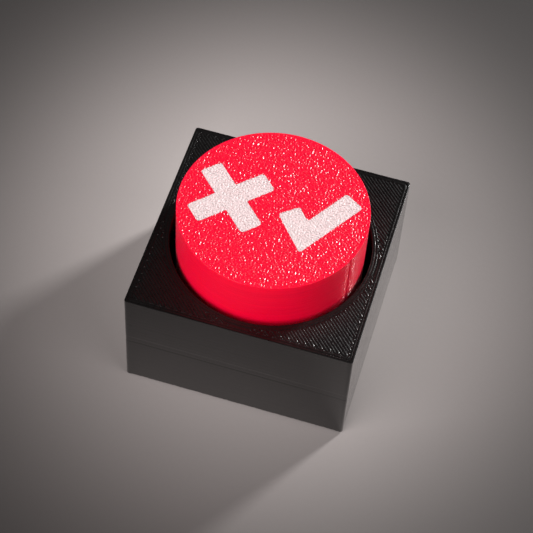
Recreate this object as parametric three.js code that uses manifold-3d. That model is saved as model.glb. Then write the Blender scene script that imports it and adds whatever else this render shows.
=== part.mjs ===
// Quiz buzzer: a square printed housing with one round push cap, an on/off key switch, a coin cell
// and a small sounder on a circuit board. Millimetres, +Z up. The origin is the middle of the
// footprint, on the surface that the four rubber pads stand on.
import * as THREE from 'three';
import { mergeVertices } from 'three/addons/utils/BufferGeometryUtils.js';
import Module from 'manifold-3d';

const wasm = await Module();
wasm.setup();

// ---- driving dimensions -------------------------------------------------------------------
const SIDE = 33;                 // housing, outer width and depth
const FOOT_LIFT = 0.2;           // housing above the surface, on its pads
const HOUSING_TOP = 19;
const CAP_TOP = 26.6;
const TRAVEL = 4;                // how far the cap goes down
const WALL = 2;
const WELL_RADIUS = 14.5;        // round well that the cap runs in
const CAP_RADIUS = 13.6;
const CAP_WALL = 1.6;
const CAP_ROOF = 2.4;
const HOUSING_CORNER = 0.4;       // rounding of the housing's four upright edges
const LEDGE_Z = 10;              // where the square cavity ends and the round well begins
const FIT = 0.2;                 // clearance of a loose part in its housing

// heights of the stack
const FLOOR_TOP = 1.8;           // base plate floor
const BOARD_Z = [7, 8];
const CELL_Z = [2.1, 5.3];
const SWITCH_TOP = 19.6;
const FLANGE_Z = [13, 14];       // flange of the switch, where its two halves meet
const PIN_TIP_Z = 6;
const CAP_SKIRT_Z = LEDGE_Z + TRAVEL;
const CAP_CEILING = CAP_TOP - CAP_ROOF;
const STEM_TOP = 23.2;
const SLIDER_TOP = 20;

// plan positions
const CORNER = 11.9;             // screws and standoffs
const PAD_AT = [6.5, 11.2];
const CELL_X = -2.5;
const SOUNDER_X = 10.7;
const PLATE_SIDE = SIDE - 2 * WALL - 2 * FIT;

// hardware
const SCREW = { thread: 0.95, head: 1.9, clear: 1.15, pilot: 1.05, pocket: 2.1, headZ: 0.3, seatZ: 1.6 };
const SCREW_TIP = SCREW.seatZ + 12;
const PAD = { radius: 2.5, height: 1 };
const CELL = { radius: 10, lid: 8.8, sheet: 0.25 };
const SPRING = { radius: 2.05, wire: 0.15, turns: 8, bottom: 9.2, top: 17.2 };
const LEGEND_DEPTH = 0.6;
const LEGEND_FIT = 0.08;
const STROKE = 3.3;

// ---- materials ----------------------------------------------------------------------------
const finish = (color, roughness, metalness = 0) => ({ color, roughness, metalness });
const FINISH = {
  black: finish(0x17171a, 0.4),
  red: finish(0xe6123a, 0.45),
  white: finish(0xf2e2e4, 0.5),
  charcoal: finish(0x26272a, 0.55),
  clearGrey: finish(0x8d9196, 0.4),
  blue: finish(0x2b5fb8, 0.45),
  steel: finish(0xb9bcc0, 0.3, 1),
  copper: finish(0xc58a4a, 0.35, 1),
  board: finish(0x1e5a3c, 0.45),
  chip: finish(0x202123, 0.5),
  ceramic: finish(0xb79c78, 0.6),
  rubber: finish(0x2e2e2e, 0.9),
  seal: finish(0x4b4e52, 0.7),
};

const buzzer = new THREE.Group();
const base = new THREE.Group();
const button = new THREE.Group();
buzzer.add(base, button);

// ---- solids -------------------------------------------------------------------------------
function solid(geometry) {
  const bare = geometry.clone();
  bare.deleteAttribute('normal');
  bare.deleteAttribute('uv');
  const merged = mergeVertices(bare, 1e-4);
  return new wasm.Manifold(new wasm.Mesh({
    numProp: 3,
    vertProperties: new Float32Array(merged.attributes.position.array),
    triVerts: new Uint32Array(merged.index.array),
  }));
}

function geometryOf(shape) {
  const mesh = shape.getMesh();
  const geometry = new THREE.BufferGeometry();
  geometry.setAttribute('position', new THREE.BufferAttribute(new Float32Array(mesh.vertProperties), 3));
  geometry.setIndex(new THREE.BufferAttribute(new Uint32Array(mesh.triVerts), 1));
  const flat = geometry.toNonIndexed();
  flat.computeVertexNormals();
  return flat;
}

function place(group, name, shape, look) {
  const mesh = new THREE.Mesh(geometryOf(shape), new THREE.MeshStandardMaterial(look));
  mesh.name = name;
  group.add(mesh);
  return mesh;
}

const join = (shapes) => shapes.reduce((all, one) => all.add(one));
const cut = (shape, tools) => tools.reduce((left, tool) => left.subtract(tool), shape);

function block([x0, x1], [y0, y1], [z0, z1]) {
  const box = new THREE.BoxGeometry(x1 - x0, y1 - y0, z1 - z0);
  return solid(box.translate((x0 + x1) / 2, (y0 + y1) / 2, (z0 + z1) / 2));
}

const centred = (width, depth, z) => block([-width / 2, width / 2], [-depth / 2, depth / 2], z);

function rod(x, y, radius, [z0, z1], segments = 32) {
  const cylinder = new THREE.CylinderGeometry(radius, radius, z1 - z0, segments);
  return solid(cylinder.rotateX(Math.PI / 2).translate(x, y, (z0 + z1) / 2));
}

// A profile of [radius, height] points turned about the Z axis; it starts and ends on the axis.
function turned(profile, segments, x = 0, y = 0) {
  const points = profile.map(([radius, height]) => new THREE.Vector2(radius, height));
  const lathe = new THREE.LatheGeometry(points, segments);
  return solid(lathe.rotateX(Math.PI / 2).translate(x, y, 0));
}

function roundedRectangle(width, depth, radius) {
  const shape = new THREE.Shape();
  const a = width / 2 - radius;
  const b = depth / 2 - radius;
  shape.moveTo(a, -b - radius);
  shape.absarc(a, -b, radius, -Math.PI / 2, 0);
  shape.absarc(a, b, radius, 0, Math.PI / 2);
  shape.absarc(-a, b, radius, Math.PI / 2, Math.PI);
  shape.absarc(-a, -b, radius, Math.PI, 1.5 * Math.PI);
  return shape;
}

function slab(width, depth, radius, [z0, z1], curveSegments = 6) {
  const settings = { depth: z1 - z0, bevelEnabled: false, curveSegments };
  const geometry = new THREE.ExtrudeGeometry(roundedRectangle(width, depth, radius), settings);
  return solid(geometry.translate(0, 0, z0));
}

// A straight-sided pyramid frustum with a square plan, wide at z0.
function frustum(bottom, top, [z0, z1]) {
  const half = Math.SQRT1_2;
  const geometry = new THREE.CylinderGeometry(top * half, bottom * half, z1 - z0, 4, 1);
  geometry.rotateX(Math.PI / 2).rotateZ(Math.PI / 4);
  return solid(geometry.translate(0, 0, (z0 + z1) / 2));
}

const corners = (x, y = x) => [[-x, -y], [x, -y], [x, y], [-x, y]];

// ---- housing and base ---------------------------------------------------------------------
function housing() {
  const cavity = SIDE - 2 * WALL;
  const bossInner = 9.8;
  const boss = cavity / 2 - bossInner + 0.5;
  const body = cut(slab(SIDE, SIDE, HOUSING_CORNER, [FOOT_LIFT, HOUSING_TOP]), [
    centred(cavity, cavity, [FOOT_LIFT - 1, LEDGE_Z]),
    rod(0, 0, WELL_RADIUS, [LEDGE_Z - 1, HOUSING_TOP + 1], 96),
  ]);
  const bosses = corners(bossInner + boss / 2).map(([x, y]) => block(
    [x - boss / 2, x + boss / 2], [y - boss / 2, y + boss / 2], [BOARD_Z[1], LEDGE_Z + 0.4],
  ).subtract(rod(0, 0, WELL_RADIUS, [LEDGE_Z, HOUSING_TOP], 96)));
  const pilot = [BOARD_Z[1] - 1, SCREW_TIP + 0.4];
  const pilots = corners(CORNER).map(([x, y]) => rod(x, y, SCREW.pilot, pilot, 20));
  return cut(join([body, ...bosses]), pilots);
}

function basePlate() {
  const half = PLATE_SIDE / 2;
  const standoff = half - CORNER;
  const plate = slab(PLATE_SIDE, PLATE_SIDE, 0.5, [FOOT_LIFT, FLOOR_TOP], 4);
  const standoffs = corners(CORNER)
    .map(([x, y]) => rod(x, y, standoff, [FLOOR_TOP - 0.4, BOARD_Z[0]], 20));
  const cellWall = rod(CELL_X, 0, CELL.radius + 1.05, [FLOOR_TOP - 0.4, 3.8], 48)
    .subtract(rod(CELL_X, 0, CELL.radius + 0.3, [FLOOR_TOP, 5], 48))
    .subtract(block([CELL_X - 3, CELL_X + 3], [-15, 15], [FLOOR_TOP, 5]));
  const soundHoles = [[0, 0], [1.6, 0], [-1.6, 0], [0, 1.6], [0, -1.6]]
    .map(([x, y]) => rod(SOUNDER_X + x, y, 0.5, [0, 3], 12));
  const screwWays = corners(CORNER).flatMap(([x, y]) => [
    rod(x, y, SCREW.clear, [0, BOARD_Z[0] + 1], 16),
    rod(x, y, SCREW.pocket, [0, SCREW.seatZ], 20),
  ]);
  const padPockets = corners(...PAD_AT).map(([x, y]) => rod(x, y, PAD.radius + 0.1, [0, PAD.height], 24));
  return cut(join([plate, ...standoffs, cellWall]), [...soundHoles, ...screwWays, ...padPockets]);
}

// Pan head with a cross recess, driven up from below.
function baseScrew(x, y) {
  const { thread, head, headZ, seatZ } = SCREW;
  const body = turned([
    [0, headZ], [head - 0.5, headZ], [head - 0.12, headZ + 0.25], [head, headZ + 0.6], [head, seatZ],
    [thread, seatZ], [thread, SCREW_TIP - 0.5], [thread - 0.45, SCREW_TIP], [0, SCREW_TIP],
  ], 16, x, y);
  const depth = [headZ - 0.5, headZ + 0.7];
  return cut(body, [
    block([x - 1, x + 1], [y - 0.2, y + 0.2], depth),
    block([x - 0.2, x + 0.2], [y - 1, y + 1], depth),
  ]);
}

function footPad(x, y) {
  const { radius, height } = PAD;
  const profile = [[0, 0], [radius - 0.25, 0], [radius, 0.25], [radius, height], [0, height]];
  return turned(profile, 24, x, y);
}

place(base, 'housing', housing(), FINISH.black);
place(base, 'base_plate', basePlate(), FINISH.black);
corners(CORNER).forEach(([x, y], i) => place(base, `base_screw_${i + 1}`, baseScrew(x, y), FINISH.steel));
corners(...PAD_AT).forEach(([x, y], i) => place(base, `foot_pad_${i + 1}`, footPad(x, y), FINISH.rubber));

// ---- coin cell and its contacts -----------------------------------------------------------
function cellCan() {
  const [z0, z1] = CELL_Z;
  const { radius, sheet } = CELL;
  const rim = z1 - 0.2;
  return turned([
    [0, z0], [radius - 0.3, z0], [radius, z0 + 0.3], [radius, rim - 0.3], [radius - 0.3, rim],
    [radius - 0.7, rim], [radius - 0.7, rim - sheet], [radius - sheet, rim - sheet - 0.1],
    [radius - sheet, z0 + sheet], [0, z0 + sheet],
  ], 48, CELL_X);
}

function cellSeal() {
  const outer = CELL.radius - CELL.sheet - 0.05;
  const band = [CELL_Z[0] + CELL.sheet, CELL_Z[1] - 0.65];
  const hole = rod(CELL_X, 0, CELL.lid + 0.15, [band[0] - 1, band[1] + 1], 40);
  return rod(CELL_X, 0, outer - 0.1, band, 40).subtract(hole);
}

function cellLid() {
  const { lid, sheet } = CELL;
  const z1 = CELL_Z[1];
  const z0 = CELL_Z[0] + 1.2;
  return turned([
    [lid - sheet, z0], [lid, z0], [lid, z1 - 0.35], [lid - 0.35, z1], [0, z1],
    [0, z1 - sheet], [lid - 0.45, z1 - sheet], [lid - sheet, z1 - 0.45], [lid - sheet, z0],
  ], 40, CELL_X);
}

const cellCore = () => rod(
  CELL_X, 0, CELL.lid - CELL.sheet - 0.25, [CELL_Z[0] + CELL.sheet, CELL_Z[1] - CELL.sheet], 48,
);

// A folded strip of sheet: a floor under the cell and a leg up to the board at each end.
function batteryClip() {
  const width = [CELL_X - 2.5, CELL_X + 2.5];
  const leg = [CELL.radius + 0.4, CELL.radius + 0.7];
  const sheet = [FLOOR_TOP, CELL_Z[0]];
  return join([
    block(width, [-leg[1], leg[1]], sheet),
    block(width, leg, [FLOOR_TOP, BOARD_Z[0]]),
    block(width, [-leg[1], -leg[0]], [FLOOR_TOP, BOARD_Z[0]]),
  ]);
}

// A sprung leaf soldered flat under the board, dipping to touch the cell's lid.
function negativeContact() {
  const leaf = new THREE.Shape();
  const thick = 0.2;
  const low = CELL_Z[1];
  const top = BOARD_Z[0];
  const outline = [
    [-8.6, top], [-8.6, top - thick], [-5.8, top - thick], [-2.8, low + thick / 2], [-2, low],
    [-1.2, low], [-0.2, low + 0.7], [-0.35, low + 0.85], [-1.3, low + thick], [-1.9, low + thick],
    [-2.7, low + 1.6 * thick], [-5.6, top],
  ];
  outline.forEach(([x, z], i) => (i ? leaf.lineTo(x, z) : leaf.moveTo(x, z)));
  const strip = new THREE.ExtrudeGeometry(leaf, { depth: 3, bevelEnabled: false });
  return solid(strip.rotateX(Math.PI / 2).translate(0, -4.2, 0));
}

place(base, 'cell_can', cellCan(), FINISH.steel);
place(base, 'cell_seal', cellSeal(), FINISH.seal);
place(base, 'cell_core', cellCore(), FINISH.seal);
place(base, 'cell_lid', cellLid(), FINISH.steel);
place(base, 'battery_clip', batteryClip(), FINISH.steel);
place(base, 'negative_contact', negativeContact(), FINISH.copper);

// ---- circuit board and the parts on it ----------------------------------------------------
const PIN_A = [-3.8, 4.5];
const PIN_B = [2.54, 5.08];

function circuitBoard() {
  const [z0, z1] = [BOARD_Z[0] - 1, BOARD_Z[1] + 1];
  return cut(slab(PLATE_SIDE, PLATE_SIDE, 0.5, BOARD_Z, 4), [
    ...corners(CORNER).map(([x, y]) => rod(x, y, SCREW.clear, [z0, z1], 20)),
    rod(0, 0, 2.1, [z0, z1]),
    ...[PIN_A, PIN_B].map(([x, y]) => rod(x, y, 0.7, [z0, z1], 16)),
  ]);
}

// Gull-wing legs in a row on both long sides of a moulded body.
function legged(x, y, width, length, height, legs, pitch, reach) {
  const z = BOARD_Z[1];
  const body = block(
    [x - width / 2, x + width / 2], [y - length / 2, y + length / 2], [z + 0.15, z + height],
  );
  const mid = z + height * 0.5;
  const leg = (side, at) => {
    const inner = width / 2 - 0.2;
    const knee = width / 2 + reach * 0.45;
    const span = (a, b) => (side > 0 ? [x + a, x + b] : [x - b, x - a]);
    const wide = [at - 0.2, at + 0.2];
    return join([
      block(span(inner, knee), wide, [mid - 0.08, mid + 0.08]),
      block(span(knee - 0.15, knee), wide, [z, mid + 0.08]),
      block(span(knee - 0.15, width / 2 + reach), wide, [z, z + 0.15]),
    ]);
  };
  const rows = legs.flatMap((count, row) => Array.from({ length: count }, (_, i) => (
    leg(row ? 1 : -1, y + (i - (count - 1) / 2) * pitch))));
  return join([body, ...rows]);
}

// A chip part with a raised metal cap at each end.
function endCapped(x, y, length, depth, height) {
  const z = BOARD_Z[1];
  const [halfLength, halfDepth, proud] = [length / 2, depth / 2, 0.05];
  const body = block(
    [x - halfLength, x + halfLength], [y - halfDepth, y + halfDepth], [z + 0.06, z + height - 0.06],
  );
  const wrap = [halfLength - 0.35, halfLength + proud];
  const cap = (side) => block(
    side > 0 ? [x + wrap[0], x + wrap[1]] : [x - wrap[1], x - wrap[0]],
    [y - halfDepth - proud, y + halfDepth + proud], [z, z + height],
  );
  return join([body, cap(-1), cap(1)]);
}

// The sounder hangs under the board: a cup, a thin disc against its step, and a lid with a port.
function sounder() {
  const half = 2.5;
  const plan = [[SOUNDER_X - half, SOUNDER_X + half], [-half, half]];
  const [lid, floor, step] = [4, 4.6, 5.4];
  return {
    sounder_case: cut(block(...plan, [floor, BOARD_Z[0]]), [
      rod(SOUNDER_X, 0, 2.2, [floor - 1, step], 24),
      rod(SOUNDER_X, 0, 1.8, [step - 0.1, 6.2], 24),
    ]),
    sounder_diaphragm: rod(SOUNDER_X, 0, 2.05, [step - 0.2, step], 24),
    sounder_lid: block(...plan, [lid, floor]).subtract(rod(SOUNDER_X, 0, 0.6, [lid - 1, floor + 1], 20)),
  };
}

place(base, 'circuit_board', circuitBoard(), FINISH.board);
place(base, 'controller_chip', legged(-11, 0, 3.9, 4.9, 1.5, [4, 4], 1.27, 1), FINISH.chip);
place(base, 'drive_transistor', legged(-10.2, -6.2, 1.3, 2.9, 1.1, [2, 1], 1.9, 0.6), FINISH.chip);
place(base, 'chip_resistor_1', endCapped(-4.5, -11, 2, 1.25, 0.6), FINISH.chip);
place(base, 'chip_resistor_2', endCapped(4.5, -11, 2, 1.25, 0.6), FINISH.chip);
place(base, 'chip_capacitor', endCapped(0, 11.2, 3.2, 1.6, 1.2), FINISH.ceramic);
Object.entries(sounder()).forEach(([name, shape]) => place(
  base, name, shape, name === 'sounder_diaphragm' ? FINISH.copper : FINISH.charcoal,
));

// ---- key switch ---------------------------------------------------------------------------
const SWITCH_SIDE = 13.9;
const SWITCH_INSIDE = 11.2;
const OPENING = [7.4, 5.9];

function switchLowerHousing() {
  const shell = join([
    slab(SWITCH_SIDE, SWITCH_SIDE, 0.4, [BOARD_Z[1], FLANGE_Z[0] + 0.2], 4),
    slab(15.6, 15.6, 0.6, FLANGE_Z, 4),
    rod(0, 0, 1.95, [PIN_TIP_Z, BOARD_Z[1] + 0.5]),
  ]).subtract(centred(SWITCH_INSIDE, SWITCH_INSIDE, [SPRING.bottom, FLANGE_Z[1] + 1]));
  const post = turned([[0, 8.8], [1.6, 8.8], [1.6, 11.6], [1.2, 12], [0, 12]], 32);
  const pinWays = [PIN_A, PIN_B].map(([x, y]) => block([x - 0.6, x + 0.6], [y - 0.35, y + 0.35], [7, 10]));
  return cut(join([shell, post]), pinWays);
}

function switchUpperHousing() {
  const ceiling = SWITCH_TOP - 1.2;
  const shell = frustum(14.6, 11.4, [FLANGE_Z[1], SWITCH_TOP]);
  return cut(shell, [
    frustum(12.4, 10, [FLANGE_Z[1], ceiling]),
    centred(...OPENING, [ceiling - 0.5, SWITCH_TOP + 1]),
  ]);
}

function switchStem() {
  const arm = 4;
  const web = 1.2;
  const bottom = 13.6;
  const body = join([
    centred(arm, web, [SLIDER_TOP - 0.2, STEM_TOP]),
    centred(web, arm, [SLIDER_TOP - 0.2, STEM_TOP]),
    slab(7, 5.5, 0.3, [17.8, SLIDER_TOP], 4),
    slab(9, 7.6, 0.4, [16.2, 18], 4),
    rod(0, 0, 2.95, [bottom, 16.4]),
    block([-2, 2], [2.7, 3.7], [bottom, 16.4]),
  ]);
  return body.subtract(rod(0, 0, 2.5, [bottom - 1, SPRING.top]));
}

// Helix whose first and last turns are wound almost flat, so that the spring stands square.
class SpringCurve extends THREE.Curve {
  getPoint(t, target = new THREE.Vector3()) {
    const { radius, wire, turns, bottom, top } = SPRING;
    const turn = t * turns;
    const closed = 1;
    const closedPitch = 2.4 * wire;
    const height = top - bottom - 2 * wire;
    const openPitch = (height - 2 * closed * closedPitch) / (turns - 2 * closed);
    const open = THREE.MathUtils.clamp(turn - closed, 0, turns - 2 * closed);
    const z = open * openPitch + (turn - open) * closedPitch;
    const angle = 2 * Math.PI * turn;
    return target.set(radius * Math.cos(angle), radius * Math.sin(angle), bottom + wire + z);
  }
}

function switchSpring() {
  const wire = new THREE.Shape().absarc(0, 0, SPRING.wire, 0, 2 * Math.PI);
  const settings = { steps: SPRING.turns * 12, extrudePath: new SpringCurve(), curveSegments: 3 };
  return solid(new THREE.ExtrudeGeometry(wire, settings));
}

// Sheet contacts: a blade standing in the switch and a pin through its floor and the board.
function fixedContact() {
  const [x, y] = PIN_B;
  return join([
    block([x - 1.2, x + 0.9], [y - 0.1, y + 0.1], [9.4, 12.6]),
    block([x - 0.4, x + 0.4], [y - 0.1, y + 0.1], [PIN_TIP_Z, 9.5]),
  ]);
}

function movingContact() {
  const [x, y] = PIN_A;
  const [bladeTop, blade] = [12.4, 0.08];
  return join([
    block([x - 0.8, x + 1.4], [y - 0.1, y + 0.1], [9.4, 11.4]),
    block([x + 1.2, 2.6], [y - blade, y + blade], [9.9, 11]),
    block([-0.4, 2.6], [y - blade, y + blade], [10.8, bladeTop]),
    block([x - 0.4, x + 0.4], [y - 0.1, y + 0.1], [PIN_TIP_Z, 9.5]),
  ]);
}

place(base, 'switch_lower_housing', switchLowerHousing(), FINISH.charcoal);
place(base, 'switch_upper_housing', switchUpperHousing(), FINISH.clearGrey);
place(base, 'switch_spring', switchSpring(), FINISH.steel);
place(base, 'fixed_contact', fixedContact(), FINISH.copper);
place(base, 'moving_contact', movingContact(), FINISH.copper);
place(button, 'switch_stem', switchStem(), FINISH.blue);

// ---- cap and its two inlaid marks ---------------------------------------------------------
// The outline of a stroke of the given width along a line of points: out along one side, mitred at
// each bend, and back along the other. Its ends run on by `overrun`.
function strokeOutline(line, width, overrun) {
  const heading = (from, to) => to.clone().sub(from).normalize();
  const ends = [heading(line[0], line[1]), heading(line.at(-2), line.at(-1))];
  const path = line.map((point) => point.clone());
  path[0].addScaledVector(ends[0], -overrun);
  path.at(-1).addScaledVector(ends[1], overrun);
  const normals = path.slice(1).map((point, i) => {
    const along = heading(path[i], point);
    return new THREE.Vector2(-along.y, along.x);
  });
  const side = path.map((point, i) => {
    const before = normals[Math.max(i - 1, 0)];
    const after = normals[Math.min(i, normals.length - 1)];
    return before.clone().add(after).multiplyScalar((width / 2) / (1 + before.dot(after)));
  });
  const left = path.map((point, i) => point.clone().add(side[i]));
  const right = path.map((point, i) => point.clone().sub(side[i]));
  return [...right, ...left.reverse()];
}

function roundedPolygon(points, radius) {
  const shape = new THREE.Shape();
  points.forEach((corner, i) => {
    const before = points.at(i - 1).clone().sub(corner).setLength(radius).add(corner);
    const after = points[(i + 1) % points.length].clone().sub(corner).setLength(radius).add(corner);
    if (i) shape.lineTo(before.x, before.y);
    else shape.moveTo(before.x, before.y);
    shape.quadraticCurveTo(corner.x, corner.y, after.x, after.y);
  });
  return shape;
}

function stroke(line, [z0, z1], grow) {
  const points = line.map(([x, y]) => new THREE.Vector2(x, y));
  const sharp = strokeOutline(points, STROKE + 2 * grow, STROKE / 2 + grow);
  const outline = roundedPolygon(sharp, 0.5 + grow);
  const settings = { depth: z1 - z0, bevelEnabled: false, curveSegments: 3 };
  return solid(new THREE.ExtrudeGeometry(outline, settings).translate(0, 0, z0));
}

function cross(z, grow = 0) {
  const [x, reach] = [-6.2, 3.15];
  const bar = (turn) => stroke([[x - reach, -turn * reach], [x + reach, turn * reach]], z, grow);
  return join([bar(1), bar(-1)]);
}

const tick = (z, grow = 0) => stroke([[3.2, -0.9], [5.3, -3.4], [9.6, 3.4]], z, grow);

function buttonCap() {
  const inner = CAP_RADIUS - CAP_WALL;
  const cup = turned([
    [0, CAP_CEILING], [inner, CAP_CEILING], [inner, CAP_SKIRT_Z], [CAP_RADIUS, CAP_SKIRT_Z],
    [CAP_RADIUS, CAP_TOP], [0, CAP_TOP],
  ], 96);
  const boss = rod(0, 0, 2.7, [SLIDER_TOP + 0.2, CAP_CEILING + 0.5]);
  const slot = [SLIDER_TOP - 1, STEM_TOP + 0.2];
  const pocket = [CAP_TOP - LEGEND_DEPTH, CAP_TOP + 1];
  return cut(cup.add(boss), [
    centred(4.2, 1.4, slot),
    centred(1.4, 4.2, slot),
    cross(pocket, LEGEND_FIT),
    tick(pocket, LEGEND_FIT),
  ]);
}

place(button, 'button_cap', buttonCap(), FINISH.red);
place(button, 'legend_cross', cross([CAP_TOP - LEGEND_DEPTH, CAP_TOP]), FINISH.white);
place(button, 'legend_tick', tick([CAP_TOP - LEGEND_DEPTH, CAP_TOP]), FINISH.white);

export default buzzer;
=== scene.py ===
import math
from functools import partialmethod

import bmesh
import bpy
from bpy.props import FloatProperty, FloatVectorProperty, IntProperty, PointerProperty
from mathutils import Matrix, Vector, noise


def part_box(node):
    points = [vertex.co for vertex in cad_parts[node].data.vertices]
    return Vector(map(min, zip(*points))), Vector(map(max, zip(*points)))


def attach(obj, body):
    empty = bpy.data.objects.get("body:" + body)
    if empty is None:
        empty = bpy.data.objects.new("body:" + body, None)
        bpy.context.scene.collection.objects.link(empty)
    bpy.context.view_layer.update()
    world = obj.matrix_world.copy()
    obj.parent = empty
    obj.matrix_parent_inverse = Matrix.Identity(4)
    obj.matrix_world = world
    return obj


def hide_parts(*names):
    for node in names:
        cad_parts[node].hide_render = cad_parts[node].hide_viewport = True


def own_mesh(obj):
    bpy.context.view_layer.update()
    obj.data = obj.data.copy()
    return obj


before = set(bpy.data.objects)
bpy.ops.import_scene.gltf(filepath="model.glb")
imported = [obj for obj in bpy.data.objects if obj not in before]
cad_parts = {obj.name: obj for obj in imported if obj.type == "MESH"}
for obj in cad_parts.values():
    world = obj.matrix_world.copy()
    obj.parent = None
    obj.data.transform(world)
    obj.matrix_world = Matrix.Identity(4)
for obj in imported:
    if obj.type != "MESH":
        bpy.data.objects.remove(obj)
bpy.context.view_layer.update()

bl_info = {
    "name": "Quiz Buzzer",
    "version": (1, 0, 0),
    "blender": (4, 5, 0),
    "location": "View3D > Sidebar > Buzzer",
    "description": "Builds the finished look of a printed quiz buzzer around its packed frame",
    "category": "Object",
}

MM = 0.001
PAST = 1 * MM                        # how far a cutting block reaches past what it cuts

# ---- sizes read from the frame ----
HOUSING_LOW, HOUSING_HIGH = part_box("housing")
PLATE_LOW, PLATE_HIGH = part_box("base_plate")
CAP_LOW, CAP_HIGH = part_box("button_cap")
BOARD_LOW, BOARD_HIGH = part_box("circuit_board")
CAN_LOW, CAN_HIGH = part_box("cell_can")
LID_LOW, LID_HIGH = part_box("cell_lid")
SPRING_LOW, SPRING_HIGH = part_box("switch_spring")
SCREW_LOW, SCREW_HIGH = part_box("base_screw_1")
PAD_LOW, PAD_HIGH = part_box("foot_pad_1")

HOUSING_HALF = HOUSING_HIGH.x
CORNER_RADIUS = 0.4 * MM             # rounding of the housing's upright edges
CORNER_STEPS = 4
TOP_SKIN = 0.07 * MM                 # how far the printed lines of the top stand over the block
WELL_RADIUS = 14.5 * MM
WELL_FLOOR = 10 * MM
CAP_RADIUS = CAP_HIGH.x
CAP_WALL = 1.6 * MM
CAP_ROOF = 2.4 * MM
BOSS_RADIUS = 2.7 * MM               # the round post under the cap that takes the switch stem
BOSS_BOTTOM = 20.2 * MM
SLOT_TOP = 23.4 * MM
SLOT_HALVES = (2.1 * MM, 0.7 * MM)   # half length and half width of the post's crossed slots


# ---- settings a user can change ----
def length(name, description, default_mm, low_mm, high_mm):
    return FloatProperty(
        name=name, description=description, default=default_mm * MM, min=low_mm * MM,
        max=high_mm * MM, unit="LENGTH", precision=5,
    )


def colour(name, description, default):
    return FloatVectorProperty(
        name=name, description=description, default=default, size=3, min=0.0, max=1.0, subtype="COLOR",
    )


class BuzzerSizes(bpy.types.PropertyGroup):
    layer: length("Layer height", "Height of one printed layer", 0.2, 0.08, 0.4)
    groove: length("Well groove", "Depth of the groove between two layers of the well", 0.05, 0.0, 0.1)
    wall_groove: length("Wall groove", "Depth of the groove on the housing's sides", 0.009, 0.0, 0.1)
    cap_groove: length("Cap groove", "Depth of the groove on the cap's side", 0.035, 0.0, 0.1)
    line: length("Line width", "Width of one printed line on the top", 0.42, 0.2, 0.8)
    grain: length(
        "Grain size", "Size of the bed's pattern; its bumps are 1.4 times as far apart", 0.23, 0.15, 2.0,
    )
    grain_depth: length("Grain depth", "Height of the bumps that the print bed leaves", 0.16, 0.0, 0.3)
    grain_cell: length(
        "Grain mesh cell", "Size of one mesh cell on the cap's grainy face", 0.095, 0.05, 1.0,
    )
    seam_angle: FloatProperty(
        name="Seam angle", description="Where the cap's printed seam runs up its side",
        default=math.radians(-24), subtype="ANGLE",
    )
    thread_pitch: length("Thread pitch", "Pitch of the screws' thread", 0.4, 0.2, 1.0)
    wire: length("Spring wire", "Thickness of the switch spring's wire", 0.3, 0.1, 0.6)
    turns: IntProperty(
        name="Spring turns", description="Turns of the switch spring", default=8, min=3, max=20,
    )


class BuzzerColours(bpy.types.PropertyGroup):
    housing: colour("Housing", "Colour of the printed housing", (0.0035, 0.003, 0.003))
    cap: colour("Cap", "Colour of the printed cap", (0.82, 0.0, 0.029))
    legend: colour("Marks", "Colour of the two inlaid marks", (0.67, 0.55, 0.555))
    board: colour("Circuit board", "Colour of the board's solder mask", (0.012, 0.1, 0.045))
    moulding: colour(
        "Moulding", "Colour of the switch's lower half and the sounder", (0.018, 0.019, 0.021),
    )
    cover: colour("Switch cover", "Colour of the switch's upper half", (0.2, 0.22, 0.24))
    stem: colour("Switch stem", "Colour of the switch's moving stem", (0.02, 0.1, 0.45))
    rubber: colour("Pads", "Colour of the rubber pads", (0.015, 0.015, 0.016))
    floor: colour("Floor", "Colour of the studio floor", (0.45, 0.41, 0.4))


def sizes():
    return bpy.context.scene.buzzer_sizes


def colours():
    return bpy.context.scene.buzzer_colours


# ---- node helpers ----
class Output:
    """One output of a node. A sum on it adds a Math node to the tree and gives that node's output."""

    def __init__(self, tree, node, key=0):
        self.tree, self.node, self.key = tree, node, key

    def __getitem__(self, key):
        return Output(self.tree, self.node, key)

    def calc(self, operation, *others):
        return add(self.tree, "ShaderNodeMath", dict(enumerate((self, *others))), operation=operation)

    def vector(self, operation, *others):
        inputs = dict(enumerate((self, *others)))
        return add(self.tree, "ShaderNodeVectorMath", inputs, operation=operation)

    def scaled(self, factor):
        return add(self.tree, "ShaderNodeVectorMath", {0: self, "Scale": factor}, operation="SCALE")

    def length(self):
        return self.vector("LENGTH")[1]

    def xyz(self):
        parts = add(self.tree, "ShaderNodeSeparateXYZ", {0: self})
        return parts[0], parts[1], parts[2]

    __add__ = partialmethod(calc, "ADD")
    __sub__ = partialmethod(calc, "SUBTRACT")
    __mul__ = partialmethod(calc, "MULTIPLY")
    __truediv__ = partialmethod(calc, "DIVIDE")
    __abs__ = partialmethod(calc, "ABSOLUTE")

    def __rtruediv__(self, other):
        return add(self.tree, "ShaderNodeMath", {0: other, 1: self}, operation="DIVIDE")


def feed(tree, node, inputs):
    """Sets a node's inputs, each to a value or to another node's output."""
    for key, value in inputs.items():
        if isinstance(value, Output):
            tree.links.new(value.node.outputs[value.key], node.inputs[key])
        else:
            node.inputs[key].default_value = value


def add(tree, kind, inputs=None, **settings):
    """A new node with its settings and inputs, as its first output."""
    node = tree.nodes.new(kind)
    for name, value in settings.items():
        setattr(node, name, value)
    feed(tree, node, inputs or {})
    return Output(tree, node)


def combined(tree, x=0.0, y=0.0, z=0.0):
    return add(tree, "ShaderNodeCombineXYZ", {"X": x, "Y": y, "Z": z})


def mapped(value, from_low, from_high, to_low, to_high, interpolation="LINEAR"):
    inputs = {
        "Value": value, "From Min": from_low, "From Max": from_high, "To Min": to_low, "To Max": to_high,
    }
    return add(value.tree, "ShaderNodeMapRange", inputs, interpolation_type=interpolation)


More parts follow.
